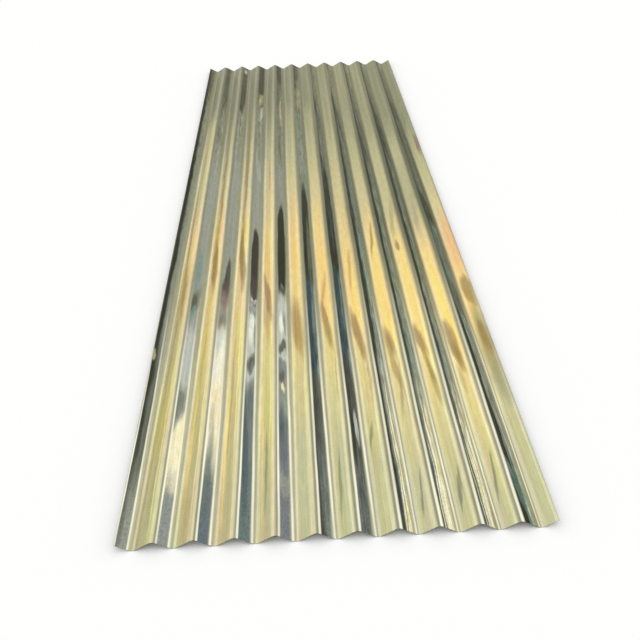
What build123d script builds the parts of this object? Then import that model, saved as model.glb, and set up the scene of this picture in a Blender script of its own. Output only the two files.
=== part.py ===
from build123d import *

import os
from math import acos, atan2, cos, degrees, hypot, radians, sin

# Driving dimensions, in millimetres
sheet_length = 3000.0  # cut length, along the waves
pitch = 76.2  # from one crest to the next, three inches
crest_count = 10
wave_depth = 18.0  # from trough to crest, on one face of the sheet
sheet_thickness = 0.6
bend_radius = 12.0  # of the sheet's middle line, over each crest and in each trough
edge_flank = 30.0  # flat part of the flank that each long edge keeps above its outermost trough

# Slope of the flat flanks, in degrees: each is tangent to a trough's arc and to a crest's arc
half_pitch = pitch / 2
arc_centre_drop = 2 * bend_radius - wave_depth
arc_centre_gap = hypot(half_pitch, arc_centre_drop)
flank_slope = degrees(atan2(half_pitch, arc_centre_drop) - acos(2 * bend_radius / arc_centre_gap))

# Run and rise of half an arc, and the flat that is left between two arcs
arc_run = bend_radius * sin(radians(flank_slope))
arc_rise = bend_radius * (1 - cos(radians(flank_slope)))
flank_flat = (half_pitch - 2 * arc_run) / cos(radians(flank_slope))

# Upper end of the left edge, on the sheet's middle line: the troughs rest on Z = 0
left_edge_x = -crest_count * half_pitch - arc_run - edge_flank * cos(radians(flank_slope))
left_edge_z = sheet_thickness / 2 + arc_rise + edge_flank * sin(radians(flank_slope))


# One rolled sheet whose waves run along Y: both edges turn up, so there is one trough more than crests
with BuildPart() as corrugated_sheet:
    with BuildSketch(Plane.XZ) as wave_section:
        with BuildLine() as middle_line:
            flank = PolarLine((left_edge_x, left_edge_z), edge_flank, -flank_slope)
            for bend in range(2 * crest_count + 1):
                turn = 1 if bend % 2 == 0 else -1  # up out of a trough, or down over a crest
                arc = JernArc(flank @ 1, flank % 1, bend_radius, turn * 2 * flank_slope)
                is_last = bend == 2 * crest_count
                flank = PolarLine(arc @ 1, edge_flank if is_last else flank_flat, turn * flank_slope)
        trace(line_width=sheet_thickness)
    extrude(amount=sheet_length / 2, both=True)

corrugated_sheet.part.label = "corrugated_sheet"

os.makedirs("parts", exist_ok=True)
export_step(corrugated_sheet.part, "parts/corrugated_sheet.step")
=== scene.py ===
"""Looks of one corrugated sheet of galvanised steel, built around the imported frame. Lengths are in metres."""

import logging
from dataclasses import dataclass, field
from enum import Enum
from math import acos, atan2, cos, hypot, radians, sin, tan

import bmesh
import bpy
from bmesh.types import BMEdge, BMesh, BMVert
from bpy.types import Material, Mesh, Node, NodeSocket, NodeTree, Object
from mathutils import Matrix, Vector


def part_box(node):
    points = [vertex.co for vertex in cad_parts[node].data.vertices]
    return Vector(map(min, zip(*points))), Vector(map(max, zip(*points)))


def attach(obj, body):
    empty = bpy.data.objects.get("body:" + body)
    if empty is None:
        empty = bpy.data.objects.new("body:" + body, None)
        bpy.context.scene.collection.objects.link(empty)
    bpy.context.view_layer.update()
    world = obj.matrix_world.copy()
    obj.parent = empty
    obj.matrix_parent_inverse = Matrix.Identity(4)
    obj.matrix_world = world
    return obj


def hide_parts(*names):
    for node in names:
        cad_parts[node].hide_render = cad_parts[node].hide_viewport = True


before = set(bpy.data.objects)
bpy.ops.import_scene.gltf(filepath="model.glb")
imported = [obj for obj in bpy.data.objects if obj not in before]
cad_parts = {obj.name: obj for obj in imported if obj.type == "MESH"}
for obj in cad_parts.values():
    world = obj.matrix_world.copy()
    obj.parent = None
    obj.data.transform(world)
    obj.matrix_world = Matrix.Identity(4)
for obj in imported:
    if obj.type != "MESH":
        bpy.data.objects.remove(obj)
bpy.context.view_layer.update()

log = logging.getLogger("corrugated_sheet")

MM = 0.001
SOFT = {"interpolation_type": "SMOOTHSTEP", "clamp": False}  # settings of a Map Range that eases in and out


class Tone(Enum):
    """Colours of the zinc face and of the studio, in sRGB; the upper face's tones paint its reflections."""

    KHAKI = "#C6C396"
    LEMON_KHAKI = "#DED194"
    STRAW_GOLD = "#EAD894"
    GOLD = "#FFDC8A"
    PEACH_GOLD = "#FADC96"
    APRICOT = "#F2C088"
    TAN_KHAKI = "#C5BC8B"
    TAN_STRAW = "#D2C588"
    SOFT_GOLD = "#F8DA8C"
    SAND = "#E2D39D"
    OLIVE_SAND = "#C6C295"
    OLIVE = "#9E9E7E"
    ORANGE_TAN = "#D2A768"
    TAN = "#B49B66"
    UMBER = "#A08852"
    PALE_ZINC = "#9C9F92"
    DULL_ZINC = "#8E8F7A"
    GREY_GREEN = "#7C8170"
    DUSK = "#606355"
    DULL_OLIVE = "#6F7054"
    PALE_BEND = "#BCB996"
    BEND = "#A8A484"
    BEND_OLIVE = "#8C8A6C"
    BEND_SAGE = "#9A9B7C"
    BEND_DUSK = "#77785E"
    DEEP_OLIVE = "#66664E"
    OLIVE_BLACK = "#35382F"
    JET = "#23251D"
    MIST = "#868F7D"
    SLATE = "#7A827D"
    FROST = "#8E938D"
    LEMON_GOLD = "#FFE98C"
    TEAL = "#7F948C"
    WORN_STEEL = "#63716F"
    STEEL_BLUE = "#45555B"
    BLUE_STEEL = "#606F7A"
    LILAC = "#7F7E86"
    SMOKE = "#6D7773"
    SILVER = "#C2C7BC"
    CREAM = "#F4EBC2"
    MILK = "#EDEEDC"
    SOOT = "#42403A"
    NAVY = "#3B4D52"
    BLUE_GREY = "#6C7F78"
    MAROON = "#665552"
    ROSE = "#947872"
    MOSS = "#8E9470"
    MINT = "#BCC79C"
    # near-white painted highlight of the reflection lines along the bends
    PAINTED_HIGHLIGHT = "#FFFDE6"
    GRAZING = "#CDCDC7"
    UNDERSIDE = "#9A9B8B"
    SHEARED = "#77776C"
    FLOOR = "#FCFCFB"
    WHITE = "#FFFFFF"


def linear(tone: Tone) -> tuple[float, float, float, float]:
    """Turns a tone's sRGB hex value into linear light.

    Args:
        tone: the tone to turn.

    Returns:
        Its red, green and blue, and full alpha.
    """
    channels = [int(tone.value[start:start + 2], 16) / 255 for start in (1, 3, 5)]
    curve = [c / 12.92 if c <= 0.04045 else ((c + 0.055) / 1.055) ** 2.4 for c in channels]
    return (*curve, 1.0)


def add(tree: NodeTree, kind: str, inputs: dict | None = None, **settings) -> Node:
    """Adds a shader node, makes its settings, and sets or links its sockets.

    Args:
        tree: node tree that the node goes into.
        kind: Blender's name of the node's type, without the leading "ShaderNode".
        inputs: for each socket, by name or number, its value, or the socket or node that feeds it.
        settings: the node's own attributes.

    Returns:
        The new node.
    """
    node = tree.nodes.new("ShaderNode" + kind)
    for name, value in settings.items():
        setattr(node, name, value)
    for key, value in (inputs or {}).items():
        if isinstance(value, Node):
            value = value.outputs[0]
        if isinstance(value, NodeSocket):
            tree.links.new(value, node.inputs[key])
        else:
            node.inputs[key].default_value = value
    return node


def empty_material(name: str) -> Material:
    """Makes a material whose node tree is empty.

    Args:
        name: name of the material.

    Returns:
        The new material.
    """
    material = bpy.data.materials.new(name)
    material.use_nodes = True
    material.node_tree.nodes.clear()
    return material


@dataclass(frozen=True)
class WaveSection:
    """Rolled section of the sheet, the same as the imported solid's: round bends joined by flat flanks."""

    width: float
    height: float
    pitch: float = 0.0762
    crest_count: int = 10
    bend_radius: float = 0.012
    thickness: float = 0.0006

    @property
    def half_pitch(self) -> float:
        """Run from a trough to the next crest."""
        return self.pitch / 2

    @property
    def depth(self) -> float:
        """Height of a crest above a trough, on one face."""
        return self.height - self.thickness

    @property
    def slope(self) -> float:
        """Angle of a flat flank, tangent to the bends at its two ends.

        Returns:
            The angle above the horizontal.
        """
        drop = 2 * self.bend_radius - self.depth
        gap = hypot(self.half_pitch, drop)
        return atan2(self.half_pitch, drop) - acos(2 * self.bend_radius / gap)

    @property
    def bend_run(self) -> float:
        """Run of half a bend."""
        return self.bend_radius * sin(self.slope)

    @property
    def flank_flat(self) -> float:
        """Length of the flat between two bends."""
        return (self.half_pitch - 2 * self.bend_run) / cos(self.slope)

    @property
    def edge_flat(self) -> float:
        """Flat that a long edge keeps beyond its outermost trough.

        Returns:
            The flat's length.
        """
        corner = self.thickness / 2 * sin(self.slope)
        reach = self.width / 2 - corner - self.crest_count * self.half_pitch - self.bend_run
        return reach / cos(self.slope)

    def bend_centre(self, bend: int) -> Vector:
        """Finds the centre of a bend's arc.

        Args:
            bend: number of the bend from the left edge, where even ones are troughs.

        Returns:
            The centre, in the plane of the section.
        """
        across = (bend - self.crest_count) * self.half_pitch
        middle = self.thickness / 2
        if bend % 2 == 0:
            return Vector((across, 0.0, middle + self.bend_radius))
        return Vector((across, 0.0, middle + self.depth - self.bend_radius))

    def start(self) -> Vector:
        """Finds the upper end of the left edge.

        Returns:
            The point, on the middle line of the steel.
        """
        across = -self.crest_count * self.half_pitch - self.bend_run - self.edge_flat * cos(self.slope)
        rise = self.bend_radius * (1 - cos(self.slope)) + self.edge_flat * sin(self.slope)
        return Vector((across, 0.0, self.thickness / 2 + rise))


@dataclass(frozen=True)
class Mark:
    """A long soft patch of painted reflection along one flank: a dark or bright thing mirrored in the zinc.

    Attributes:
        phase: middle of the patch across the wave, from the trough, in millimetres.
        start: end of the patch nearer the far end of the sheet.
        end: end of the patch nearer the front.
        width: full width of the patch, in millimetres.
        tone: colour in the middle of the patch.
        strength: share of that colour in the middle.
        softness: share of the patch that its edge fades over.
        lean: turn of the patch, to the right towards the front, in degrees.
        slant: how much farther along the sheet each point lies, for its distance to the right of the middle.
        taper: share of the width that is lost at the start, so that the patch is pointed there.
        blunt: how square the two ends are, from 0 for an ellipse's.
    """

    phase: float
    start: float
    end: float
    width: float
    tone: Tone
    strength: float = 0.9
    softness: float = 0.8
    lean: float = 0.0
    slant: float = 0.0
    taper: float = 0.0
    blunt: int = 0


Marks = dict[int, tuple[Mark, ...]]
Stops = tuple[tuple[float, Tone], ...]
Curve = tuple[tuple[float, float], ...]

# Painted reflections on the flanks that face right, by the number of their wave from the left, counted from its
# trough:
# -1 is the flank of the left edge
COOL_REFLECTIONS: Marks = {
    -1: (
        Mark(56, 1.8, -1.9, 60, Tone.GREY_GREEN, 0.6, 0.5),
        Mark(58, -0.75, -1.4, 26, Tone.DUSK, 0.8, 0.5),
        Mark(56, 1.9, 0.9, 60, Tone.DEEP_OLIVE, 0.7, 0.5),
        Mark(49, 1.9, -1.9, 20, Tone.OLIVE_BLACK, 1.0, 0.6),
        Mark(48, 2.0, -0.4, 16, Tone.JET, 0.8, 0.6),
        Mark(50, -0.82, -0.88, 7, Tone.SAND, 0.5, 0.5),
    ),
    0: (
        Mark(55, 1.7, 0.9, 60, Tone.DUSK, 0.7, 0.5),
        Mark(53, 1.45, 1.2, 20, Tone.OLIVE_BLACK, 0.4),
        Mark(52, 0.85, 0.45, 30, Tone.DEEP_OLIVE, 0.45, 0.5, lean=12),
        Mark(51, -0.28, -0.62, 26, Tone.TEAL, 0.75),
        Mark(53, -0.55, -0.71, 36, Tone.GREY_GREEN, 0.95, 0.5, slant=3.2),
        Mark(51, -0.58, -0.69, 20, Tone.DUSK, 0.95, 0.7, slant=3.2),
        Mark(50, -0.66, -0.74, 22, Tone.TEAL, 0.7, slant=3.2),
        Mark(56, -0.72, -1.05, 60, Tone.SILVER, 0.75, 0.5),
        Mark(51, -1.02, -1.14, 26, Tone.GREY_GREEN, 0.8, 0.5, slant=3),
        Mark(56, -1.11, -1.52, 80, Tone.CREAM, 1.0, 0.2, slant=3),
        Mark(55, -1.27, -1.5, 80, Tone.PALE_ZINC, 0.6),
        Mark(55, -1.33, -2.2, 80, Tone.FROST, 1.0, 0.1, slant=1.0),
    ),
    1: (
        Mark(58, 1.48, 1.38, 14, Tone.MILK, 0.55),
        Mark(53, 1.44, 0.86, 34, Tone.SOOT, 0.7, 0.6, blunt=1),
        Mark(52, 1.02, 0.82, 22, Tone.JET, 0.6, lean=4),
        Mark(57, 0.9, 0.55, 6, Tone.SILVER, 0.6),
        Mark(58, -0.32, -0.68, 34, Tone.SOOT, 0.85, 0.5, lean=-1, taper=0.7),
        Mark(53, -0.46, -0.62, 12, Tone.SOOT, 0.5),
        Mark(54, -0.5, -0.67, 38, Tone.MAROON, 0.75, 0.6, lean=2),
        Mark(54, -0.6, -0.82, 30, Tone.ROSE, 0.4, 0.9, lean=2),
        Mark(55, -0.55, -0.69, 24, Tone.ROSE, 0.75, lean=2),
        Mark(55, -0.7, -0.82, 38, Tone.GREY_GREEN, 0.45, slant=2),
        Mark(52, -0.69, -0.76, 10, Tone.MAROON, 0.4, 0.6, lean=2),
        Mark(55, -0.72, -1.55, 70, Tone.CREAM, 1.0, 0.4),
        Mark(55, -0.74, -1.04, 60, Tone.MILK, 0.7, 0.7),
        Mark(52, -0.74, -0.9, 20, Tone.SILVER, 0.6, slant=2),
        Mark(52, -1.02, -1.4, 14, Tone.PALE_ZINC, 0.6),
        Mark(57, -1.16, -2.1, 56, Tone.SMOKE, 1.0, 0.4, slant=-2),
        Mark(54, -1.38, -1.55, 26, Tone.BLUE_STEEL, 0.45),
    ),
    2: (
        Mark(56, 1.56, 1.06, 40, Tone.JET, 0.75, 0.5, blunt=1),
        Mark(57, 1.12, 0.92, 20, Tone.SAND, 0.4, 0.9, lean=-3),
        Mark(58, 0.97, 0.75, 18, Tone.MILK, 0.45, 0.9, lean=-5),
        Mark(51, 1.05, 0.5, 8, Tone.DUSK, 0.5),
        Mark(52, 0.55, 0.1, 18, Tone.SILVER, 0.3, 0.5, lean=4),
        Mark(57, -0.17, -0.66, 31, Tone.SOOT, 1.0, 0.35, taper=0.3, blunt=1),
        Mark(57, -0.48, -0.68, 24, Tone.MAROON, 0.45),
        Mark(57, -0.64, -0.76, 34, Tone.ROSE, 0.45),
        Mark(55, -0.64, -1.02, 60, Tone.SILVER, 0.95, 0.25),
        Mark(55, -0.66, -0.72, 30, Tone.SLATE, 0.7, 0.7),
        Mark(56, -0.622, -0.642, 18, Tone.MILK, 0.8, 0.9),
        Mark(56, -0.627, -0.637, 9, Tone.MAROON, 0.8),
        Mark(54, -0.68, -0.88, 17, Tone.MILK),
        Mark(62, -0.72, -0.9, 8, Tone.GREY_GREEN, 0.6, 0.7, lean=1),
        Mark(56, -0.88, -0.98, 24, Tone.DUSK, 0.95, 0.7, slant=1),
        Mark(58, -0.92, -0.98, 12, Tone.SLATE, 0.85, 0.6, slant=2),
        Mark(55, -0.98, -2.0, 70, Tone.WORN_STEEL, 0.85, 0.15),
        Mark(52, -1.04, -1.5, 16, Tone.STEEL_BLUE, 0.6, 0.7, lean=1),
        Mark(60, -1.1, -1.3, 10, Tone.SLATE, 0.6, 0.5),
    ),
    3: (
        Mark(57, 1.7, 1.2, 34, Tone.JET, 0.7, 0.6, blunt=1),
        Mark(56, 1.04, 0.74, 12, Tone.ROSE, 0.4, 0.7, lean=-3),
        Mark(60, 1.2, 0.6, 8, Tone.CREAM, 0.25),
        Mark(50, 0.7, 0.3, 14, Tone.MAROON, 0.3, 0.5, lean=4),
        Mark(56, -0.02, -0.62, 34, Tone.OLIVE_BLACK, 1.0, 0.3, taper=0.3, blunt=1),
        Mark(55, -0.57, -1.02, 60, Tone.SILVER, 0.95, 0.3),
        Mark(57, -0.52, -0.6, 14, Tone.DUSK, softness=0.7),
        Mark(58, -0.53, -0.56, 7, Tone.SLATE, softness=0.7),
        Mark(53, -0.66, -0.82, 15, Tone.MILK),
        Mark(61, -0.66, -0.84, 9, Tone.SLATE, 0.7, 0.7, lean=1),
        Mark(56, -0.83, -0.92, 26, Tone.DUSK, 0.95, 0.65, slant=1.0),
        Mark(59, -0.87, -0.93, 14, Tone.SILVER, 0.85, 0.6, slant=1.6),
        Mark(55, -0.91, -1.02, 36, Tone.SLATE, 0.85, 0.5),
        Mark(53, -0.97, -1.02, 18, Tone.DUSK, 0.85, 0.5, slant=2),
        Mark(58, -1.0, -1.03, 10, Tone.ROSE, 0.6, 0.7),
        Mark(53, -1.02, -1.055, 10, Tone.CREAM, softness=0.6),
        Mark(54, -1.07, -2.0, 70, Tone.SLATE, 0.95, 0.12, slant=-1),
        Mark(52, -1.08, -1.34, 18, Tone.STEEL_BLUE, 0.7, 0.7, lean=1),
        Mark(56, -1.14, -1.6, 34, Tone.LILAC, 0.6, 0.7),
        Mark(56, -1.31, -1.4, 36, Tone.PALE_ZINC, 0.7, lean=6),
        Mark(52, 0.9, 0.2, 8, Tone.DUSK, 0.45, lean=2),
        Mark(56, 0.35, 0.0, 60, Tone.PALE_ZINC, 0.6),
    ),
    4: (
        Mark(55, 1.7, 1.22, 36, Tone.JET, 0.55, 0.6, slant=4, blunt=1),
        Mark(57, 1.18, 0.86, 30, Tone.PALE_BEND, 0.4, 0.7, slant=3, blunt=1),
        Mark(52, 1.1, 0.4, 9, Tone.DUSK, 0.55, lean=2),
        Mark(60, 0.9, 0.2, 7, Tone.SILVER, 0.4, lean=1),
        Mark(55, 0.95, -0.05, 60, Tone.MIST, 0.8, 0.5),
        Mark(57, 0.15, -0.62, 36, Tone.OLIVE_BLACK, 1.0, 0.35, taper=0.4, blunt=1),
        Mark(60, -0.05, -0.65, 12, Tone.GREY_GREEN, 0.5),
        Mark(53, -0.48, -1.02, 30, Tone.NAVY, 0.95, 0.5, blunt=1),
        Mark(61, -0.5, -0.92, 12, Tone.SLATE, 0.85, 0.7),
        Mark(56, -0.93, -1.6, 34, Tone.SOOT, 0.75, 0.5, blunt=1),
        Mark(58, -1.2, -1.6, 16, Tone.SLATE, 0.6, 0.7, lean=1),
        Mark(56, 0.6, 0.14, 60, Tone.PALE_ZINC, 0.45),
    ),
    5: (
        Mark(56, 1.5, 0.95, 50, Tone.BEND_OLIVE, 0.7, 0.5),
        Mark(56, 0.95, 0.3, 50, Tone.GREY_GREEN, 0.5, 0.5),
        Mark(53, 1.3, 0.45, 10, Tone.JET, 0.6, lean=1),
        Mark(60, 1.2, 0.4, 9, Tone.DULL_OLIVE, 0.7, lean=1),
        Mark(56, 0.29, -0.58, 34, Tone.OLIVE_BLACK, 1.0, 0.35, taper=0.4, blunt=1),
        Mark(58, 0.05, -0.42, 10, Tone.STEEL_BLUE, 0.6),
        Mark(54, -0.44, -0.98, 32, Tone.NAVY, 0.95, 0.5, blunt=1),
        Mark(61, -0.46, -0.86, 10, Tone.SLATE, 0.75, 0.7),
        Mark(55, -0.86, -1.6, 34, Tone.SOOT, 0.8, 0.5, blunt=1),
        Mark(60, -1.1, -1.26, 10, Tone.SILVER, 0.8, 0.5, lean=2),
        Mark(56, -1.22, -1.6, 34, Tone.SLATE, 0.45, 0.7),
    ),
    6: (
        Mark(56, 1.5, 0.95, 50, Tone.BEND_OLIVE, 0.55, 0.5),
        Mark(50, 0.95, -1.8, 14, Tone.OLIVE_BLACK, softness=0.5),
        Mark(57, 1.25, 0.3, 9, Tone.JET, 0.6, lean=2),
        Mark(56, -0.02, -0.35, 16, Tone.MAROON, 0.35, 0.5, lean=6),
        Mark(60, -0.7, -1.6, 24, Tone.PALE_ZINC, 0.75, 0.7),
        Mark(61, -0.86, -2.0, 6, Tone.CREAM, 1.0, 0.6),
        Mark(56, -1.0, -2.0, 3, Tone.CREAM, 0.7, 0.6),
        Mark(66, -1.0, -2.0, 3, Tone.CREAM, 0.7, 0.6),
    ),
    7: (
        Mark(61, 1.2, 0.25, 8, Tone.JET, 0.5, lean=2),
        Mark(60, 0.2, -1.05, 30, Tone.MIST, softness=0.7),
        Mark(49, 0.8, -1.1, 13, Tone.OLIVE_BLACK, 0.95, 0.5),
        Mark(56, 1.05, 0.2, 26, Tone.DUSK, 0.5),
        Mark(53, 0.98, 0.2, 13, Tone.JET, 0.55, lean=2),
        Mark(58, -0.8, -1.7, 24, Tone.PALE_ZINC, 0.6),
        Mark(57, -0.96, -2.0, 7, Tone.CREAM, 0.95, 0.6),
        Mark(64, -0.96, -2.0, 10, Tone.CREAM, 1.0, 0.5),
        Mark(51, -1.15, -2.0, 3, Tone.CREAM, 0.7, 0.5),
        Mark(50, 1.15, 0.2, 7, Tone.JET, 0.6, 0.7, lean=1),
    ),
    8: (
        Mark(61, 1.15, 0.2, 8, Tone.JET, 0.5, lean=2),
        Mark(55, 1.05, 0.2, 30, Tone.OLIVE_BLACK, 0.6, lean=2),
        Mark(52, 1.0, 0.25, 14, Tone.JET, 0.6, lean=2),
        Mark(59, 0.1, -1.05, 32, Tone.MIST, 0.95, 0.7),
        Mark(60, -0.62, -1.3, 22, Tone.PALE_ZINC, 0.7),
        Mark(49, 0.8, -1.1, 14, Tone.OLIVE_BLACK, 1.0, 0.5),
        Mark(57, -0.62, -0.78, 10, Tone.MAROON, 0.3, 0.5, lean=4),
        Mark(57, -0.92, -2.0, 8, Tone.CREAM, 0.8, 0.6),
        Mark(64, -0.96, -2.0, 8, Tone.CREAM, 1.0, 0.5),
        Mark(50, -1.15, -2.0, 4, Tone.CREAM, 0.5, 0.5),
        Mark(50, 1.2, 0.2, 7, Tone.JET, 0.7, 0.7, lean=1),
    ),
    9: (
        Mark(57, 0.98, 0.62, 40, Tone.JET, 0.6, 0.7, slant=-3),
        Mark(55, 0.95, 0.0, 30, Tone.DEEP_OLIVE, 0.6),
        Mark(51, 0.7, 0.05, 14, Tone.JET, 0.8, lean=1),
        Mark(49, 1.2, 0.2, 8, Tone.JET, 0.8, 0.7, lean=1),
        Mark(58, 0.06, -0.26, 44, Tone.OLIVE_BLACK, 0.8, 0.5, slant=-4),
        Mark(60, -0.24, -0.6, 30, Tone.BLUE_GREY, 0.7, 0.7, slant=-4),
        Mark(58, 0.6, 0.02, 34, Tone.GREY_GREEN, 0.5),
        Mark(60, -0.55, -0.8, 36, Tone.DUSK, 0.7, 0.6, slant=-4),
        Mark(60, -0.78, -1.35, 32, Tone.PALE_ZINC, 0.6, 0.5),
        Mark(50, -0.6, -1.95, 13, Tone.OLIVE_BLACK, 1.0, 0.4),
        Mark(62, -1.1, -1.25, 18, Tone.PALE_ZINC, 0.7, 0.5),
        Mark(58, -1.28, -1.6, 18, Tone.BLUE_GREY, 0.75, 0.5, lean=6),
        Mark(64, -1.22, -1.6, 10, Tone.SILVER, 0.6, 0.5),
    ),
}

# Painted reflections on the flanks that face left, by the number of their wave
WARM_REFLECTIONS: Marks = {
    0: (
        Mark(20, 0.95, -0.1, 50, Tone.SAND, 0.75),
        Mark(12, 0.2, -0.6, 10, Tone.MOSS, 0.4),
        Mark(19, -0.4, -0.75, 16, Tone.UMBER, 0.45, lean=2),
        Mark(17, -0.25, -1.1, 60, Tone.MOSS, 0.3),
        Mark(17, -1.15, -1.9, 60, Tone.PALE_BEND, 0.45),
        Mark(14, -0.5, -1.3, 8, Tone.MOSS, 0.3),
        Mark(28, -0.6, -1.6, 4, Tone.LEMON_GOLD, 0.6, 0.6),
    ),
    1: (
        Mark(14, 1.9, 0.3, 60, Tone.BEND_OLIVE, 0.3),
        Mark(14, 1.1, 0.4, 14, Tone.OLIVE, 0.6),
        Mark(17, 0.9, -0.56, 13, Tone.UMBER, 0.55),
        Mark(19, -0.22, -0.62, 27, Tone.UMBER, 0.8, 0.6, lean=1, slant=-2, taper=0.4),
        Mark(16, -0.7, -1.3, 9, Tone.TAN, 0.35),
        Mark(12, -0.95, -1.45, 9, Tone.SOFT_GOLD, 0.5),
        Mark(22, -1.1, -1.6, 10, Tone.PALE_BEND, 0.4),
        Mark(29, -0.8, -1.6, 4, Tone.LEMON_GOLD, 0.6, 0.6),
    ),
    2: (
        Mark(14, 1.9, 0.3, 60, Tone.BEND_OLIVE, 0.35),
        Mark(14, 1.1, 0.4, 14, Tone.OLIVE, 0.7),
        Mark(10, -0.95, -1.5, 9, Tone.SOFT_GOLD, 0.6),
        Mark(28, -0.5, -1.4, 5, Tone.LEMON_GOLD, 0.6, 0.6),
        Mark(20, -1.2, -1.6, 12, Tone.PALE_BEND, 0.45),
        Mark(17, 0.9, -0.4, 15, Tone.UMBER, 0.65),
        Mark(20, -0.12, -0.62, 27, Tone.UMBER, 0.85, 0.55, lean=2, slant=-2, taper=0.4),
        Mark(14, -0.72, -1.3, 8, Tone.MOSS, 0.35),
    ),
    3: (
        Mark(14, 1.9, 0.6, 60, Tone.BEND_OLIVE, 0.3),
        Mark(27, -0.6, -1.4, 5, Tone.LEMON_GOLD, 0.5, 0.6),
        Mark(10, -0.9, -1.35, 7, Tone.SOFT_GOLD, 0.5),
        Mark(22, -1.15, -1.6, 14, Tone.MINT, 0.45),
        Mark(20, 0.4, 0.05, 9, Tone.TAN, 0.4),
        Mark(19, -0.44, -0.78, 24, Tone.TAN, softness=0.6, lean=4.5, taper=0.3),
        Mark(15, -0.56, -0.86, 20, Tone.TAN, 0.35, 0.9, lean=3),
        Mark(18, -1.14, -1.47, 7, Tone.MOSS, 0.7, lean=-1),
    ),
    4: (
        Mark(16, 1.0, 0.3, 60, Tone.OLIVE_SAND, 0.3),
        Mark(17, -1.1, -1.6, 24, Tone.MINT, 0.5),
        Mark(16, -0.58, -0.92, 44, Tone.TAN, 0.8, 0.85, lean=1, slant=-3.0),
        Mark(13, -0.66, -0.92, 20, Tone.TAN, 0.4, 0.9, lean=3),
        Mark(28, -0.76, -1.02, 8, Tone.TAN, 0.6),
    ),
    5: (
        Mark(16, 1.0, 0.3, 60, Tone.OLIVE_SAND, 0.3),
        Mark(20, -1.2, -1.6, 20, Tone.MINT, 0.4),
        Mark(15, -0.46, -0.72, 15, Tone.ORANGE_TAN, 0.75, 0.9, lean=-4),
        Mark(14, -0.61, -0.9, 25, Tone.TAN, 0.95, 0.6, lean=4, taper=0.2),
        Mark(28, -0.8, -1.16, 6, Tone.TAN, 0.6),
        Mark(14, -1.25, -1.48, 8, Tone.MOSS, 0.8, lean=-2),
    ),
    6: (
        Mark(16, -0.2, -0.95, 60, Tone.LEMON_GOLD, 0.25),
        Mark(16, 0.2, -0.5, 60, Tone.OLIVE_SAND, 0.25),
        Mark(16, 1.9, 0.5, 60, Tone.OLIVE_SAND, 0.25),
        Mark(18, -0.34, -0.62, 15, Tone.ORANGE_TAN, 0.65, 0.9, lean=-3),
        Mark(14, -0.66, -0.96, 28, Tone.TAN, 0.95, 0.6, lean=4.5, taper=0.2),
        Mark(13, -0.72, -0.96, 22, Tone.TAN, 0.35, 0.9, lean=4),
        Mark(27, -0.88, -1.16, 8, Tone.TAN, 0.7),
        Mark(13, -1.14, -1.28, 9, Tone.MOSS, 0.8, lean=-5),
    ),
    7: (
        Mark(16, -0.2, -1.05, 60, Tone.LEMON_GOLD, 0.45),
        Mark(16, 1.9, 0.5, 60, Tone.OLIVE_SAND, 0.35),
        Mark(18, -0.17, -0.46, 11, Tone.UMBER, 0.7, lean=-4),
        Mark(12, -0.75, -0.96, 28, Tone.TAN, lean=5, taper=0.2),
        Mark(16, -0.86, -1.1, 14, Tone.UMBER, 0.55, 0.9, lean=5),
        Mark(13, -0.78, -0.92, 5, Tone.UMBER, 0.5, 0.9, lean=5),
        Mark(18, -0.92, -1.18, 10, Tone.UMBER, 0.55, lean=-4),
        Mark(25, -0.94, -1.22, 7, Tone.TAN, 0.55),
        Mark(16, 0.6, -0.3, 60, Tone.OLIVE_SAND, 0.3),
        Mark(19, -1.3, -1.48, 8, Tone.GREY_GREEN, 0.75, lean=-4),
    ),
    8: (
        Mark(16, -0.25, -1.1, 60, Tone.LEMON_GOLD, 0.5),
        Mark(16, 1.9, 0.5, 60, Tone.OLIVE_SAND, 0.3),
        Mark(18, 0.02, -0.33, 16, Tone.UMBER, 0.6, lean=-3),
        Mark(14, -0.3, -0.39, 15, Tone.UMBER, 0.8),
        Mark(11, -0.75, -0.94, 30, Tone.TAN, 0.95, lean=5, taper=0.2),
        Mark(16, -0.84, -1.06, 15, Tone.UMBER, 0.6, 0.9, lean=5),
        Mark(10, -0.77, -0.86, 10, Tone.UMBER, 0.4, 0.9, lean=5),
        Mark(22, -0.9, -1.18, 14, Tone.UMBER, 0.6, lean=1.5),
        Mark(16, 0.6, -0.36, 60, Tone.OLIVE_SAND, 0.6),
        Mark(17, -1.3, -1.49, 8, Tone.GREY_GREEN, 0.75, lean=-4),
    ),
    9: (
        Mark(16, -0.3, -1.15, 60, Tone.LEMON_GOLD, 0.55),
        Mark(18, 0.06, -0.3, 16, Tone.UMBER, 0.6, lean=-3),
        Mark(13, -0.73, -0.99, 34, Tone.TAN, 0.85, 0.85, lean=4, taper=0.1),
        Mark(16, -0.82, -1.04, 22, Tone.UMBER, 0.8, lean=4),
        Mark(10, -0.76, -0.86, 10, Tone.UMBER, 0.5, 0.9, lean=4),
        Mark(12, -0.96, -1.1, 12, Tone.TAN, 0.5, 0.9, lean=2),
        Mark(16, 0.6, -0.42, 60, Tone.OLIVE_SAND, 0.8),
        Mark(16, 0.4, -0.3, 60, Tone.OLIVE, 0.25),
        Mark(17, -1.27, -1.46, 8, Tone.GREY_GREEN, 0.75, lean=-4),
    ),
    10: (
        Mark(9, 0.88, 0.55, 10, Tone.MOSS, 0.8, lean=-3),
        Mark(25, 0.56, 0.3, 16, Tone.ROSE, 0.8),
        Mark(22, -0.1, -0.6, 40, Tone.APRICOT, 0.7),
        Mark(22, -0.9, -1.9, 60, Tone.KHAKI, softness=0.5),
        Mark(22, -0.6, -1.2, 60, Tone.MOSS, 0.75, 0.9),
        Mark(20, -0.53, -0.72, 32, Tone.TAN, 0.95, 0.6, lean=2, slant=-1),
        Mark(21, -0.76, -0.96, 30, Tone.UMBER, 0.8, 0.6, lean=1, slant=-1),
    ),
}
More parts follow.
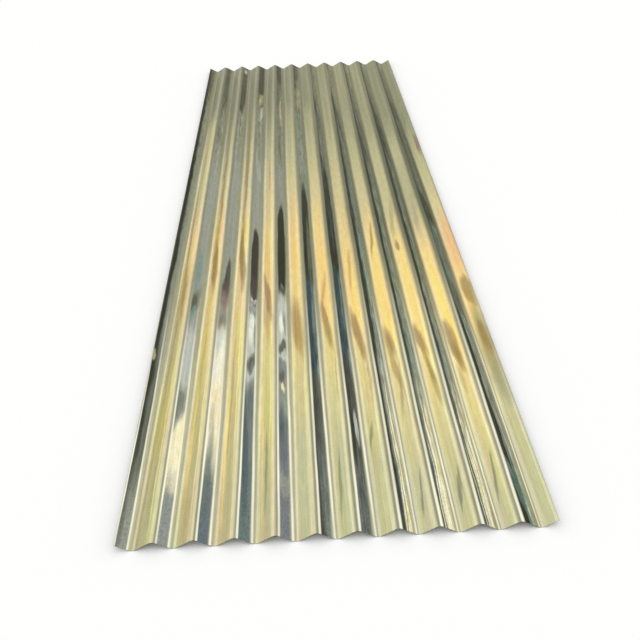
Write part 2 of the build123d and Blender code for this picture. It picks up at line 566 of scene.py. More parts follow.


# Painted reflection colours along the sheet: place and tone, from the front on
PALE_GREYS: Stops = (
    (-1.45, Tone.PALE_ZINC), (0.20, Tone.PALE_ZINC), (0.75, Tone.DULL_ZINC), (1.10, Tone.DEEP_OLIVE),
)
DARK_GREYS: Stops = (
    (-1.45, Tone.GREY_GREEN), (-0.70, Tone.GREY_GREEN), (-0.20, Tone.DUSK), (0.60, Tone.DUSK),
    (1.20, Tone.DULL_OLIVE),
)
LEFT_GOLDS: Stops = (
    (-1.40, Tone.TAN_KHAKI), (-1.10, Tone.TAN_STRAW), (-0.75, Tone.STRAW_GOLD), (-0.45, Tone.SOFT_GOLD),
    (-0.25, Tone.SOFT_GOLD), (0.05, Tone.SAND), (0.45, Tone.OLIVE_SAND), (0.95, Tone.OLIVE),
)
RIGHT_GOLDS: Stops = (
    (-1.50, Tone.KHAKI), (-1.25, Tone.KHAKI), (-1.00, Tone.LEMON_KHAKI), (-0.81, Tone.STRAW_GOLD),
    (-0.70, Tone.GOLD), (-0.45, Tone.GOLD), (-0.20, Tone.PEACH_GOLD), (0.10, Tone.SAND),
    (0.50, Tone.OLIVE_SAND), (1.00, Tone.OLIVE),
)
LEFT_BENDS: Stops = (
    (-1.40, Tone.PALE_BEND), (-1.10, Tone.PALE_BEND), (-0.75, Tone.BEND), (-0.30, Tone.BEND_SAGE),
    (0.20, Tone.BEND_SAGE), (0.60, Tone.BEND_OLIVE), (0.95, Tone.BEND_OLIVE),
)
RIGHT_BENDS: Stops = (
    (-1.40, Tone.PALE_BEND), (-1.10, Tone.PALE_BEND), (-0.75, Tone.BEND), (-0.45, Tone.BEND_OLIVE),
    (-0.15, Tone.BEND_DUSK), (0.50, Tone.BEND_DUSK), (1.00, Tone.BEND_OLIVE),
)

# Curves across a wave: distance from the trough in millimetres, from -2 to 74.2, and value
# painted light and shade across the grey flanks that face right
GREY_PAINTED_SHADE: Curve = (
    (-2, 1.0), (42, 0.95), (44, 1.25), (47, 0.46), (51, 0.46), (54, 1.05), (56.5, 1.32), (58.5, 1.02),
    (61, 1.80), (63.5, 1.35), (66, 1.80), (69, 1.1), (74.2, 1.0),
)
BEND_SHARE: Curve = (
    (-2, 1.0), (41, 1.0), (44, 0.69), (46, 0.21), (48, 0.0), (62, 0.0), (64, 0.08), (66, 0.40), (68, 0.79),
    (70, 1.0), (74.2, 1.0),
)
GOLD_SHARE: Curve = (
    (-2, 0.04), (0, 0.22), (2, 0.58), (4, 0.85), (6, 0.96), (8, 1.0), (24, 1.0), (28, 0.94), (31, 0.80),
    (34, 0.52), (37, 0.18), (40, 0.03), (42, 0.0), (73, 0.0), (74.2, 0.04),
)
# the gains below and the paling paint light and shade across a wave: lighter shoulders, darker edges at the
# crests
RIGHT_GAIN: Curve = (
    (-2, 0.80), (0, 0.90), (3, 1.24), (6, 1.16), (9, 1.04), (12, 1.02), (15, 1.01), (18, 1.02), (24, 1.06),
    (27, 1.15), (31, 1.38), (33.5, 1.20), (36, 0.84), (39, 0.60), (42, 0.88), (48, 1.02), (70, 1.02),
    (74.2, 0.82),
)
LEFT_GAIN: Curve = (
    (-2, 0.90), (0, 1.04), (3, 1.36), (6, 1.32), (9, 1.17), (12, 1.12), (15, 1.06), (18, 1.02), (21, 0.99),
    (24, 0.98), (27, 1.05), (30, 1.27), (33, 1.38), (36, 1.20), (38, 0.80), (40, 0.68), (42, 0.86),
    (48, 1.02), (70, 1.02), (74.2, 0.86),
)
PALING: Curve = (
    (-2, 0.80), (0, 0.78), (4, 0.76), (8, 0.86), (12, 0.96), (20, 1.0), (24, 0.96), (28, 0.88), (32, 0.80),
    (36, 0.82), (40, 0.92), (44, 1.0), (74.2, 1.0),
)
MIDDLE_GAIN: Curve = (
    (-2, 1.05), (0, 1.10), (3, 1.18), (6, 1.15), (9, 1.0), (12, 0.92), (15, 0.93), (18, 0.92), (22, 0.96),
    (26, 1.10), (30, 1.20), (34, 1.05), (38, 0.90), (42, 0.90), (46, 1.0), (74.2, 1.05),
)
FAR_GAIN: Curve = (
    (-2, 1.0), (0, 1.02), (5, 1.02), (12, 0.97), (16, 0.94), (20, 0.96), (24, 1.01), (28, 1.08), (32, 1.11),
    (36, 1.10), (41, 1.06), (47, 1.02), (58, 0.97), (65, 1.06), (74.2, 1.0),
)


@dataclass(frozen=True)
class HighlightLine:
    """Painted highlight: a bright reflection line along one end of the flanks that face right.

    Attributes:
        place: its middle on the leftmost wave, from the trough, in millimetres.
        drift: how much farther it lies on each wave to the right, in millimetres.
        half_width: half its width on the leftmost wave, in millimetres.
        growth: how much wider that half is on each wave to the right, in millimetres.
        trail: how much nearer the crest it comes for each metre away from the front, in millimetres.
    """

    place: float
    drift: float
    half_width: float
    growth: float
    trail: float = 0.0


class ZincPattern:
    """Places and shares that the layers of the upper face are built from, in Object coordinates.

    Attributes:
        lead: distance before the trough at which a wave's share starts, in millimetres.
        wander: farthest that the edge of a mark strays, across and along the sheet.
        sway: farthest that the bands of all waves stray across the sheet.
        lean: how strongly the crest side of a wave leans outwards.
        across: place across the sheet; x is the same, but wandering.
        along: wandering place along the sheet.
        share: how far across its wave a point lies, from 0 to 1; leaning is the same, but leaning outwards.
        wave: number of the wave, counted from the sheet's middle.
        left: share that grows towards the left half of the sheet.
        near: share that grows towards the front, and far one that grows towards the far end.
    """

    lead = 2.0
    wander = (6 * MM, 60 * MM)
    sway = 1.4 * MM
    lean = 0.32

    def __init__(self, tree: NodeTree, section: WaveSection, length: float) -> None:
        """Works out where a point lies: in which wave, how far across it, and how far along the sheet.

        Args:
            tree: node tree of the upper face.
            section: rolled section of the sheet.
            length: length of the sheet.
        """
        self.tree = tree
        self.section = section
        self.length = length
        self.place = add(tree, "TexCoord").outputs["Object"]
        parts = add(tree, "SeparateXYZ", {0: self.place})
        self.across = parts.outputs["X"]
        self.x, self.along = self._wandered(parts.outputs["Y"])
        shift = self.drawn(14.0, 1.6, -self.sway, self.sway)
        shifted = add(tree, "Math", {0: self.across, 1: shift}, operation="ADD")
        count = {0: shifted, 1: 1 / section.pitch, 2: self.lead * MM / section.pitch}
        waves = add(tree, "Math", count, operation="MULTIPLY_ADD")
        self.share = add(tree, "Math", {0: waves}, operation="FRACT")
        self.wave = add(tree, "Math", {0: waves}, operation="FLOOR")
        self.leaning = self._leaned()
        self.left = add(tree, "MapRange", {"Value": self.across, "From Min": 0.06, "From Max": -0.20}, **SOFT)
        self.near = add(tree, "MapRange", {"Value": self.along, "From Min": -0.45, "From Max": -1.25}, **SOFT)
        self.far = add(tree, "MapRange", {"Value": self.along, "From Min": 0.0, "From Max": 0.8}, **SOFT)

    def _wandered(self, along: NodeSocket) -> tuple[Node, Node]:
        """Pushes the places about a little, so that no mark has a ruled edge.

        Args:
            along: place along the sheet.

        Returns:
            The nodes that give the pushed places across and along the sheet.
        """
        tree = self.tree
        sideways, lengthways = self.wander
        stretched = add(tree, "Mapping", {"Vector": self.place, "Scale": (55.0, 7.0, 0.0)})
        noise = add(tree, "TexNoise", {"Vector": stretched, "Scale": 1.0, "Detail": 4.0})
        parts = add(tree, "SeparateColor", {0: noise.outputs["Color"]})
        push_x = {0: parts.outputs["Red"], 1: 2 * sideways, 2: -sideways}
        push_y = {0: parts.outputs["Green"], 1: 2 * lengthways, 2: -lengthways}
        x = {0: self.across, 1: add(tree, "Math", push_x, operation="MULTIPLY_ADD")}
        y = {0: along, 1: add(tree, "Math", push_y, operation="MULTIPLY_ADD")}
        return add(tree, "Math", x, operation="ADD"), add(tree, "Math", y, operation="ADD")

    def _leaned(self) -> Node:
        """Leans the share across a wave outwards on its crest side, more so towards the sheet's long edges.

        Returns:
            The node that gives the leaning share.
        """
        tree = self.tree
        middle = 0.5
        points = ((-2, middle), (22, middle), (30, 0.8), (37, 0.8), (46, middle), (74.2, middle))
        side = self.across_wave(1.0, points, self.share)
        centred = add(tree, "Math", {0: side, 1: middle}, operation="SUBTRACT")
        push = add(tree, "Math", {0: centred, 1: self.across}, operation="MULTIPLY")
        return add(tree, "Math", {0: push, 1: self.lean, 2: self.share}, operation="MULTIPLY_ADD")

    def drawn(self, across: float, along: float, low: float, high: float) -> Node:
        """Noise that the rolls drew out along the sheet.

        Real rolling lines are well under a millimetre apart and don't show from the photograph's distance, so
        the finest are drawn coarser, 2 to 6 mm apart. Broader bands are 8 to 25 mm apart, as in the photo.

        Args:
            across: waves of the noise for each metre across the sheet.
            along: waves of the noise for each metre along the sheet.
            low: value in the noise's hollows.
            high: value on its peaks.

        Returns:
            The node that gives the value.
        """
        hollow, peak = 0.3, 0.7
        stretched = add(self.tree, "Mapping", {"Vector": self.place, "Scale": (across, along, 0.0)})
        grain = {"Vector": stretched, "Scale": 1.0, "Detail": 3.0, "Roughness": 0.55}
        spread = (high - low) / (peak - hollow)
        level = {0: add(self.tree, "TexNoise", grain), 1: spread, 2: low - hollow * spread}
        return add(self.tree, "Math", level, operation="MULTIPLY_ADD")

    def across_wave(self, top: float, points: Curve, share: Node) -> Node:
        """Value that changes across every wave alike.

        Args:
            top: largest value that the points may have.
            points: distance from the trough in millimetres, and value; they span one wave from its lead on.
            share: how far across the wave a point lies, plain or leaning.

        Returns:
            The node that gives the value.
        """
        node = add(self.tree, "FloatCurve", {"Value": share})
        node.mapping.extend = "HORIZONTAL"
        curve = node.mapping.curves[0]
        pitch = self.section.pitch / MM
        while len(curve.points) < len(points):
            curve.points.new(0.5, 0.5)
        for point, (phase, value) in zip(curve.points, points):
            point.location = ((phase + self.lead) / pitch, value / top)
            point.handle_type = "AUTO_CLAMPED"
        node.mapping.update()
        return add(self.tree, "Math", {0: node, 1: top}, operation="MULTIPLY")

    def lengthwise(self, stops: Stops, skew: float = 0.0) -> Node:
        """Colour that changes along the sheet.

        Args:
            stops: places along the sheet and their tones, from the front on.
            skew: how much nearer the front each place is for each metre to the right.

        Returns:
            The node that gives the colour.
        """
        tree = self.tree
        skewed = add(tree, "Math", {0: self.across, 1: skew, 2: self.along}, operation="MULTIPLY_ADD")
        share = add(tree, "Math", {0: skewed, 1: 1 / self.length, 2: 0.5}, operation="MULTIPLY_ADD")
        node = add(tree, "ValToRGB", {"Fac": share})
        elements = node.color_ramp.elements
        while len(elements) < len(stops):
            elements.new(1.0)
        for element, (place, tone) in zip(elements, stops):
            element.position = place / self.length + 0.5
            element.color = linear(tone)
        return node

    def _mask(self, wave: int, mark: Mark) -> Node:
        """Share of a mark at each point: a long ellipse or a long drop with a soft edge.

        Args:
            wave: number of the wave from the left.
            mark: the mark.

        Returns:
            The node that gives the share.
        """
        tree = self.tree
        centre = (wave - self.section.crest_count / 2) * self.section.pitch + mark.phase * MM
        reach = mark.width * MM / 2
        middle = (mark.start + mark.end) / 2
        span = (mark.start - mark.end) / 2
        u = add(tree, "Math", {0: self.x, 1: 1 / reach, 2: -centre / reach}, operation="MULTIPLY_ADD")
        v = add(tree, "Math", {0: self.along, 1: 1 / span, 2: -middle / span}, operation="MULTIPLY_ADD")
        if mark.lean:
            shear = tan(radians(mark.lean)) * span / reach
            u = add(tree, "Math", {0: v, 1: shear, 2: u}, operation="MULTIPLY_ADD")
        if mark.slant:
            v = add(tree, "Math", {0: u, 1: -mark.slant * reach / span, 2: v}, operation="MULTIPLY_ADD")
        if mark.taper:
            half = mark.taper / 2
            girth = add(tree, "Math", {0: v, 1: -half, 2: 1 - half}, operation="MULTIPLY_ADD")
            u = add(tree, "Math", {0: u, 1: girth}, operation="DIVIDE")
        for _ in range(mark.blunt):
            v = add(tree, "Math", {0: v, 1: v}, operation="MULTIPLY")
        away = add(tree, "Math", {0: u, 1: u}, operation="MULTIPLY")
        away = add(tree, "Math", {0: v, 1: v, 2: away}, operation="MULTIPLY_ADD")
        fade = {"Value": away, "From Min": 1.0, "From Max": (1 - mark.softness) ** 2, "To Max": mark.strength}
        return add(tree, "MapRange", fade, **SOFT)

    def marked(self, colour: NodeSocket, marks: Marks) -> NodeSocket:
        """Lays painted reflection marks over a colour.

        Args:
            colour: colour under the marks.
            marks: marks of each wave, the last one on top.

        Returns:
            The colour's socket.
        """
        for wave, row in marks.items():
            for mark in row:
                layer = {0: self._mask(wave, mark), 6: colour, 7: linear(mark.tone)}
                colour = add(self.tree, "Mix", layer, data_type="RGBA").outputs[2]
        return colour


class ZincFace(ZincPattern):
    """Colours of the upper face, layer by layer: painted reflections, painted shade and painted highlights,
    with streaks and grain.

    Attributes:
        least_paling: share of the paling that the gold gets on the whole sheet.
        highlight_lines: painted highlight lines at the crest's end and the trough's end of the right-facing
            flanks.
    """

    least_paling = 0.55
    highlight_lines = (
        HighlightLine(45.1, -0.37, 2.3, 0.28),
        HighlightLine(67.6, 0.75, 2.9, 0.22, trail=6.0),
    )

    def _falling_colour(self, dusk: Node) -> NodeSocket:
        """Painted reflection grey of the flanks that face right, before their marks: painted bluish patches and
        painted light and shade across each flank.

        Args:
            dusk: share of the darker painted reflection grey, which grows towards the right half of the sheet.

        Returns:
            The colour's socket.
        """
        tree = self.tree
        pale = self.lengthwise(PALE_GREYS)
        dark = self.lengthwise(DARK_GREYS)
        grade = self.across_wave(2.0, GREY_PAINTED_SHADE, self.share)
        # painted bluish reflection in patches, fading out towards the far end
        patches = self.drawn(55.0, 9.0, 0.15, 0.9)
        nearer = add(tree, "MapRange", {"Value": self.along, "From Min": 0.7, "From Max": -0.3}, **SOFT)
        cast = add(tree, "Math", {0: patches, 1: nearer}, operation="MULTIPLY")
        layer = {0: cast, 6: dark, 7: linear(Tone.BLUE_GREY)}
        bluish = add(tree, "Mix", layer, data_type="RGBA").outputs[2]
        graded = add(tree, "HueSaturation", {"Value": grade, "Color": bluish})
        return add(tree, "Mix", {0: dusk, 6: pale, 7: graded}, data_type="RGBA").outputs[2]

    def _falling_flanks(self) -> NodeSocket:
        """Flanks that face right: painted grey reflection, with dark and bright painted reflection marks, fine
        lines and fine speckle at the front end.

        Returns:
            The colour's socket.
        """
        tree = self.tree
        dusk = add(tree, "MapRange", {"Value": self.across, "From Min": -0.16, "From Max": 0.04}, **SOFT)
        colour = self.marked(self._falling_colour(dusk), COOL_REFLECTIONS)
        lined = add(tree, "Math", {0: dusk, 1: self.far}, operation="MAXIMUM")
        front = add(tree, "MapRange", {"Value": self.along, "From Min": -1.22, "From Max": -1.40}, **SOFT)
        streaks = (
            ((170.0, 14.0, 0.68, 1.32), lined),
            ((230.0, 1.8, 0.76, 1.24), dusk),
            ((95.0, 2.6, 0.74, 1.30), self.far),
            ((160.0, 40.0, 0.94, 1.06), 1.0),
            ((330.0, 130.0, 0.80, 1.20), front),
        )
        for noise, share in streaks:
            layer = {"Value": self.drawn(*noise), "Fac": share, "Color": colour}
            colour = add(tree, "HueSaturation", layer)
        tint = self.drawn(60.0, 14.0, 0.7, 1.4)
        return add(tree, "HueSaturation", {"Saturation": tint, "Color": colour}).outputs[0]

    def _rising_flanks(self) -> NodeSocket:
        """Flanks that face left: painted gold reflection, from khaki at the front to olive at the far end.

        Returns:
            The colour's socket.
        """
        left = self.lengthwise(LEFT_GOLDS)
        right = self.lengthwise(RIGHT_GOLDS, skew=0.6)
        colour = add(self.tree, "Mix", {0: self.left, 6: right, 7: left}, data_type="RGBA").outputs[2]
        return self.marked(colour, WARM_REFLECTIONS)

    def _bends(self) -> NodeSocket:
        """Bends in the troughs and on the crests: painted reflection, duller, and darker on the right half past
        the front.

        Returns:
            The colour's socket.
        """
        tree = self.tree
        left = self.lengthwise(LEFT_BENDS)
        right = self.lengthwise(RIGHT_BENDS)
        share = add(tree, "MapRange", {"Value": self.across, "From Min": -0.20, "From Max": 0.30}, **SOFT)
        return add(tree, "Mix", {0: share, 6: left, 7: right}, data_type="RGBA").outputs[2]

    def banded(self) -> NodeSocket:
        """Lays the three painted reflection colours of a wave side by side.

        Returns:
            The colour's socket.
        """
        tree = self.tree
        cool = self._falling_flanks()
        bend = self._bends()
        bend_share = self.across_wave(1.0, BEND_SHARE, self.share)
        colour = add(tree, "Mix", {0: bend_share, 6: cool, 7: bend}, data_type="RGBA").outputs[2]
        warm = self._rising_flanks()
        warm_share = self.across_wave(1.0, GOLD_SHARE, self.leaning)
        return add(tree, "Mix", {0: warm_share, 6: colour, 7: warm}, data_type="RGBA").outputs[2]

    # painted light and shade across each wave, laid into the colour
    def rolled(self, colour: NodeSocket) -> NodeSocket:
        """Paints light and shade across each wave: light shoulders near the front, paler gold beyond, light
        crests at the far end.

        Args:
            colour: colour to shade.

        Returns:
            The colour's socket.
        """
        tree = self.tree
        right = add(tree, "Math", {0: 1.0, 1: self.left}, operation="SUBTRACT")
        for side, curve in ((right, RIGHT_GAIN), (self.left, LEFT_GAIN)):
            share = add(tree, "Math", {0: self.near, 1: side}, operation="MULTIPLY")
            gain = self.across_wave(2.0, curve, self.leaning)
            colour = add(tree, "HueSaturation", {"Value": gain, "Fac": share, "Color": colour})
        beyond = add(tree, "Math", {0: 1.0, 1: self.near}, operation="SUBTRACT")
        share = add(tree, "Math", {0: self.left, 1: beyond}, operation="MULTIPLY")
        paler = self.across_wave(1.0, PALING, self.leaning)
        gain = self.across_wave(2.0, MIDDLE_GAIN, self.leaning)
        shade = {"Saturation": paler, "Value": gain, "Fac": share, "Color": colour}
        colour = add(tree, "HueSaturation", shade)
        shade = {"Saturation": paler, "Fac": self.least_paling, "Color": colour}
        colour = add(tree, "HueSaturation", shade)
        share = add(tree, "MapRange", {"Value": self.along, "From Min": 0.20, "From Max": 1.00}, **SOFT)
        gain = self.across_wave(2.0, FAR_GAIN, self.share)
        return add(tree, "HueSaturation", {"Value": gain, "Fac": share, "Color": colour}).outputs[0]

    def drawn_out(self, colour: NodeSocket) -> NodeSocket:
        """Breaks a colour up with lengthwise streaks of hue and lightness, and with fine grain.

        Args:
            colour: colour to break up.

        Returns:
            The colour's socket.
        """
        tree = self.tree
        hue = self.drawn(90.0, 2.4, 0.474, 0.526)
        depth = self.drawn(60.0, 3.0, 0.84, 1.16)
        streak = self.drawn(240.0, 2.0, 0.88, 1.12)
        sideways = add(tree, "Math", {0: self.left, 1: 0.5, 2: 0.4}, operation="MULTIPLY_ADD")
        summed = add(tree, "Math", {0: self.near, 1: 0.5, 2: sideways}, operation="MULTIPLY_ADD")
        amount = add(tree, "Math", {0: summed, 1: 1.0}, operation="MINIMUM")
        streaks = {"Hue": hue, "Saturation": depth, "Value": streak, "Fac": amount, "Color": colour}
        streaked = add(tree, "HueSaturation", streaks)
        broad = self.drawn(120.0, 1.6, 0.89, 1.11)
        banded = add(tree, "HueSaturation", {"Value": broad, "Fac": self.far, "Color": streaked})
        mottle = self.drawn(110.0, 24.0, 0.94, 1.06)
        mottled = add(tree, "HueSaturation", {"Value": mottle, "Color": banded})
        grain = self.drawn(420.0, 260.0, 0.94, 1.06)
        return add(tree, "HueSaturation", {"Value": grain, "Color": mottled}).outputs[0]

    def painted_highlights(self, colour: NodeSocket) -> NodeSocket:
        """Paints the highlight lines near the front: bright reflections along the ends of the bends, laid into
        the colour.

        Args:
            colour: colour under the lines.

        Returns:
            The colour's socket.
        """
        tree = self.tree
        first = self.section.crest_count / 2
        trail_start = 1.37  # metres in front of the sheet's middle
        core = 0.6  # millimetres from a line's middle to where it starts to fade
        place = {0: self.share, 1: self.section.pitch / MM, 2: -self.lead}
        phase = add(tree, "Math", place, operation="MULTIPLY_ADD")
        for line in self.highlight_lines:
            drift = {0: self.wave, 1: line.drift, 2: line.place + first * line.drift}
            middle = add(tree, "Math", drift, operation="MULTIPLY_ADD")
            if line.trail:
                trail = {0: self.along, 1: -line.trail, 2: -line.trail * trail_start}
                behind = add(tree, "Math", trail, operation="MULTIPLY_ADD")
                middle = add(tree, "Math", {0: middle, 1: behind}, operation="ADD")
            growth = {0: self.wave, 1: line.growth, 2: line.half_width + first * line.growth}
            half_width = add(tree, "Math", growth, operation="MULTIPLY_ADD")
            off = add(tree, "Math", {0: phase, 1: middle}, operation="SUBTRACT")
            away = add(tree, "Math", {0: off}, operation="ABSOLUTE")
            edge = add(tree, "MapRange", {"Value": away, "From Min": half_width, "From Max": core}, **SOFT)
            shown = add(tree, "Math", {0: edge, 1: self.near}, operation="MULTIPLY")
            patches = self.drawn(40.0, 5.0, 0.6, 1.1)
            patchy = add(tree, "Math", {0: shown, 1: patches}, operation="MULTIPLY")
            # painted highlight: a near-white reflection line laid over the colour
            layer = {0: patchy, 6: colour, 7: linear(Tone.PAINTED_HIGHLIGHT)}
            colour = add(tree, "Mix", layer, data_type="RGBA").outputs[2]
        return colour


@dataclass(frozen=True)
class ReflectionPaintedZinc:
    """Hot-dip galvanised steel, skin-passed, then drawn through corrugating rolls.

    The zinc is bright enough to mirror. Its colour holds painted reflections: gold on the flanks that face left
    and grey on those that face right, drawn into lengthwise bands, with a painted highlight line at each end of
    a bend.

    Attributes:
        section: rolled section of the sheet.
        length: length of the sheet.
        roughness: mean roughness.
        roughness_spread: how far the streaks change it, up and down.
        edge_share: share of the face's own colour that the tint at grazing angles adds.
    """

    section: WaveSection
    length: float
    roughness: float = 0.26
    roughness_spread: float = 0.06
    edge_share: float = 0.18

    def material(self) -> Material:
        """Builds the material of the upper face, layer by layer.

        Returns:
            The material.
        """
        material = empty_material("galvanised_steel_painted_reflections")
        tree = material.node_tree
        face = ZincFace(tree, self.section, self.length)
        # base colour: painted reflections, with painted light and shade and painted highlight lines
        colour = face.painted_highlights(face.drawn_out(face.rolled(face.banded())))
        edge = {0: self.edge_share, 6: linear(Tone.GRAZING), 7: colour}
        edge_tint = add(tree, "Mix", edge, data_type="RGBA", blend_type="ADD").outputs[2]
        spread = self.roughness_spread
        roughness = face.drawn(90.0, 2.0, self.roughness - spread, self.roughness + spread)
        finish = {"Base Color": colour, "Metallic": 1.0, "Roughness": roughness, "Specular Tint": edge_tint}
        add(tree, "OutputMaterial", {"Surface": add(tree, "BsdfPrincipled", finish)})
        return material


@dataclass(frozen=True)
class PlainZinc:
    """Zinc or bare steel without the chromate's tint: soft grey metal with spangle and drawn-out streaks.

    Attributes:
        name: name of the material.
        tone: mean colour.
        roughness: mean roughness.
        streaks: waves of the streaks for each metre across and along the sheet.
        depth: how far the streaks lighten and darken the colour.
        crystals: crystals for each metre, here about a centimetre wide.
        spangle_depth: how far the crystals differ in lightness, from the darkest to the lightest.
        spangle_gloss: how far they differ in roughness.
    """

    name: str
    tone: Tone
    roughness: float
    streaks: tuple[float, float]
    depth: float
    crystals: float = 90.0
    spangle_depth: float = 0.14
    spangle_gloss: float = 0.12

    def material(self) -> Material:
        """Builds the material: crystals under the streaks that the rolls left.

        Returns:
            The material.
        """
        material = empty_material(self.name)
        tree = material.node_tree
        place = add(tree, "TexCoord").outputs["Object"]
        stretched = add(tree, "Mapping", {"Vector": place, "Scale": (*self.streaks, 0.0)})
        noise = add(tree, "TexNoise", {"Vector": stretched, "Scale": 1.0, "Detail": 3.0})
        streak = add(tree, "Math", {0: noise, 1: 2 * self.depth, 2: 1 - self.depth}, operation="MULTIPLY_ADD")
        cells = add(tree, "TexVoronoi", {"Vector": place, "Scale": self.crystals})
        shade = add(tree, "SeparateColor", {0: cells.outputs["Color"]}).outputs["Red"]
        lightness = {0: shade, 1: self.spangle_depth, 2: 1 - self.spangle_depth / 2}
        spangle = add(tree, "Math", lightness, operation="MULTIPLY_ADD")
        value = add(tree, "Math", {0: streak, 1: spangle}, operation="MULTIPLY")
        colour = add(tree, "HueSaturation", {"Value": value, "Color": linear(self.tone)})
        gloss = {0: shade, 1: self.spangle_gloss, 2: self.roughness - self.spangle_gloss / 2}
        roughness = add(tree, "Math", gloss, operation="MULTIPLY_ADD")
        finish = {"Base Color": colour, "Metallic": 1.0, "Roughness": roughness}
        add(tree, "OutputMaterial", {"Surface": add(tree, "BsdfPrincipled", finish)})
        return material


@dataclass
class CorrugatedSheet:
    """The sheet: one skin rolled from a flat strip, lying with its troughs on the floor.

    Attributes:
        low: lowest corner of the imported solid.
        high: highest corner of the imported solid.
        bend_steps: facets round each bend.
        flank_steps: facets across each flat flank.
        length_steps: facets along the sheet.
    """

    low: Vector
    high: Vector
    bend_steps: int = 12
    flank_steps: int = 4
    length_steps: int = 60
    section: WaveSection = field(init=False)

    def __post_init__(self) -> None:
        """Takes the section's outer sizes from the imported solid."""
        self.section = WaveSection(self.high.x - self.low.x, self.high.z - self.low.z)

    def _roll(self, shape: BMesh) -> None:
        """Draws the middle line of the section at the front end, from the left edge to the right one.

        Args:
            shape: mesh that the line goes into.
        """
        section = self.section
        front = Vector((0.0, self.low.y, 0.0))
        tip = bmesh.ops.create_vert(shape, co=section.start() + front)["vert"][0]
        tip = self._flank(shape, tip, section.edge_flat, -section.slope)
        last = 2 * section.crest_count
        for bend in range(last + 1):
            turn = -1 if bend % 2 == 0 else 1
            arc = bmesh.ops.spin(
                shape,
                geom=[tip],
                cent=section.bend_centre(bend) + front,
                axis=(0.0, 1.0, 0.0),
                angle=turn * 2 * section.slope,
                steps=self.bend_steps,
            )
            tip = next(item for item in arc["geom_last"] if isinstance(item, BMVert))
            flat = section.edge_flat if bend == last else section.flank_flat
            tip = self._flank(shape, tip, flat, -turn * section.slope)

    def _flank(self, shape: BMesh, tip: BMVert, flat: float, slope: float) -> BMVert:
        """Extrudes a flat flank from the end of the line.

        Args:
            shape: mesh that holds the line.
            tip: vertex at the end of the line.
            flat: length of the flank.
            slope: angle above the horizontal that it runs at.

        Returns:
            The new end of the line.
        """
        stride = Vector((cos(slope), 0.0, sin(slope))) * flat / self.flank_steps
        for _ in range(self.flank_steps):
            tip = bmesh.ops.extrude_vert_indiv(shape, verts=[tip])["verts"][0]
            bmesh.ops.translate(shape, verts=[tip], vec=stride)
        return tip

    def _drawn_mesh(self) -> Mesh:
        """Extrudes the section along the sheet.

        Returns:
            The mesh of the middle surface, with its open edges marked sharp.
        """
        shape = bmesh.new()
        self._roll(shape)
        stride = Vector((0.0, (self.high.y - self.low.y) / self.length_steps, 0.0))
        edges = shape.edges[:]
        for _ in range(self.length_steps):
            grown = bmesh.ops.extrude_edge_only(shape, edges=edges)["geom"]
            edges = [item for item in grown if isinstance(item, BMEdge)]
            verts = [item for item in grown if isinstance(item, BMVert)]
            bmesh.ops.translate(shape, verts=verts, vec=stride)
        bmesh.ops.recalc_face_normals(shape, faces=shape.faces[:])
        if sum(face.normal.z for face in shape.faces) < 0:
            bmesh.ops.reverse_faces(shape, faces=shape.faces[:])
        for edge in shape.edges:
            edge.seam = edge.is_boundary
        mesh = bpy.data.meshes.new("sheet_skin")
        shape.to_mesh(mesh)
        shape.free()
        mesh.shade_smooth()
        for edge in mesh.edges:
            edge.use_edge_sharp = edge.use_seam
        return mesh

    def build(self) -> Object:
        """Makes the sheet and gives it the steel's thickness.

        Returns:
            The sheet's object.
        """
        sheet = bpy.data.objects.new("sheet_skin", self._drawn_mesh())
        bpy.context.scene.collection.objects.link(sheet)
        wall = sheet.modifiers.new("steel_thickness", "SOLIDIFY")
        wall.thickness = self.section.thickness
        wall.offset = 0.0
        wall.use_even_offset = True
        wall.material_offset = 1
        wall.material_offset_rim = 2
        return sheet

    def dress(self, sheet: Object) -> None:
        """Gives the sheet its upper face, underside and cut edges, in that order of slots.

        Args:
            sheet: the sheet's object.
        """
        finishes = (
            # bright zinc that mirrors the studio softly, with painted reflections: gold on one flank and grey
            # on the other
            ReflectionPaintedZinc(self.section, self.high.y - self.low.y),
            # the hidden face, dulled by the rolls: even grey with faint crystals
            PlainZinc("galvanised_underside", Tone.UNDERSIDE, 0.4, (150.0, 4.0), 0.25),
            # bare steel where the shears cut: darker, with short scratches
            PlainZinc("sheared_steel_edge", Tone.SHEARED, 0.5, (700.0, 40.0), 0.35),
        )
        for finish in finishes:
            sheet.data.materials.append(finish.material())


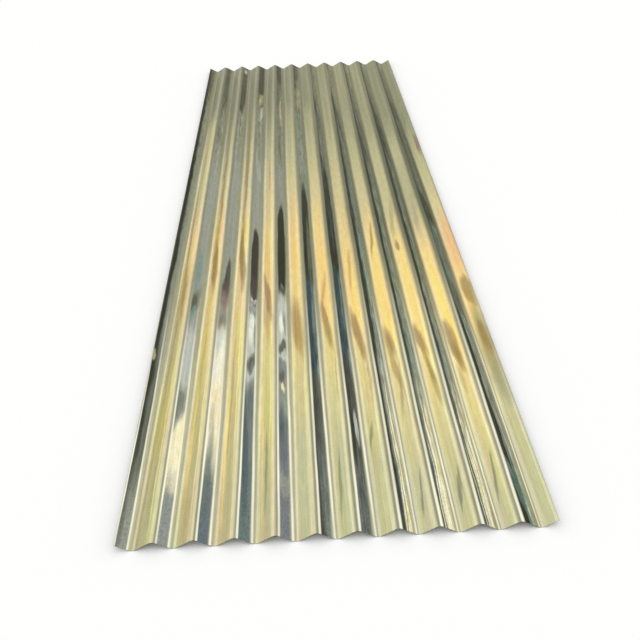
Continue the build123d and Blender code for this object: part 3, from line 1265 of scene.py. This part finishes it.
@dataclass
class Studio:
    """Pale floor, soft light and the camera.

    Attributes:
        eye: place of the camera.
        target: point that the camera looks at.
        roll: turn of the camera about its own axis.
        lens: focal length in millimetres, on a sensor 36 mm wide.
        floor_side: side of the square floor.
        sun_from: direction that the light comes from.
        sun_angle: angle that the light spreads over.
        sun_power: strength of the light.
        world_level: strength of the even light from all round.
    """

    eye: Vector = field(default_factory=lambda: Vector((-0.0384, -2.7214, 1.2403)))
    target: Vector = field(default_factory=lambda: Vector((0.0003, -0.7270, 0.0)))
    roll: float = radians(-2.49)
    lens: float = 51.29
    floor_side: float = 60.0
    sun_from: Vector = field(default_factory=lambda: Vector((-0.35, -0.55, 1.0)))
    sun_angle: float = radians(60.0)
    sun_power: float = 0.40
    world_level: float = 0.92

    def camera(self) -> None:
        """Sets the camera at the photograph's viewpoint, a little turned about its own axis."""
        data = bpy.data.cameras.new("camera")
        data.lens = self.lens
        data.sensor_width = 36.0
        camera = bpy.data.objects.new("camera", data)
        aim = (self.target - self.eye).to_track_quat("-Z", "Y").to_matrix().to_4x4()
        camera.matrix_world = Matrix.Translation(self.eye) @ aim @ Matrix.Rotation(self.roll, 4, "Z")
        bpy.context.scene.collection.objects.link(camera)
        bpy.context.scene.camera = camera

    def floor(self) -> None:
        """Lays the pale floor that the sheet's troughs rest on."""
        shape = bmesh.new()
        bmesh.ops.create_grid(shape, x_segments=1, y_segments=1, size=self.floor_side / 2)
        mesh = bpy.data.meshes.new("floor")
        shape.to_mesh(mesh)
        shape.free()
        floor = bpy.data.objects.new("floor", mesh)
        material = empty_material("matt_floor")
        shader = add(material.node_tree, "BsdfDiffuse", {"Color": linear(Tone.FLOOR)})
        add(material.node_tree, "OutputMaterial", {"Surface": shader})
        mesh.materials.append(material)
        bpy.context.scene.collection.objects.link(floor)

    def sun(self) -> None:
        """Adds a broad soft light from above, behind and a little to the left of the camera."""
        data = bpy.data.lights.new("soft_light", "SUN")
        data.angle = self.sun_angle
        data.energy = self.sun_power
        light = bpy.data.objects.new("soft_light", data)
        light.matrix_world = self.sun_from.to_track_quat("Z", "Y").to_matrix().to_4x4()
        bpy.context.scene.collection.objects.link(light)

    def world(self) -> None:
        """Fills in with an even pale world, which camera, glossy and transmission rays see as white."""
        world = bpy.data.worlds.new("studio")
        world.use_nodes = True
        tree = world.node_tree
        tree.nodes.clear()
        path = add(tree, "LightPath")
        seen = {0: path.outputs["Is Camera Ray"], 1: path.outputs["Is Glossy Ray"]}
        rays = {0: add(tree, "Math", seen, operation="ADD"), 1: path.outputs["Is Transmission Ray"]}
        share = add(tree, "Math", rays, operation="ADD", use_clamp=True)
        light = add(tree, "Background", {"Color": linear(Tone.WHITE), "Strength": self.world_level})
        white = add(tree, "Background", {"Color": linear(Tone.WHITE), "Strength": 1.0})
        add(tree, "OutputWorld", {"Surface": add(tree, "MixShader", {0: share, 1: light, 2: white})})
        bpy.context.scene.world = world

    def build(self) -> None:
        """Sets up the whole studio."""
        self.camera()
        self.floor()
        self.sun()
        self.world()
        bpy.context.scene.view_settings.view_transform = "Standard"


def main() -> None:
    """Builds the studio and the sheet."""
    logging.basicConfig(level=logging.INFO, format="%(message)s")
    Studio().build()
    low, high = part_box("corrugated_sheet")
    maker = CorrugatedSheet(low, high)
    sheet = maker.build()
    maker.dress(sheet)
    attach(sheet, "root")
    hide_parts("corrugated_sheet")
    log.info("%s: %d waves, %d faces", sheet.name, maker.section.crest_count, len(sheet.data.polygons))


if __name__ == "__main__":
    main()
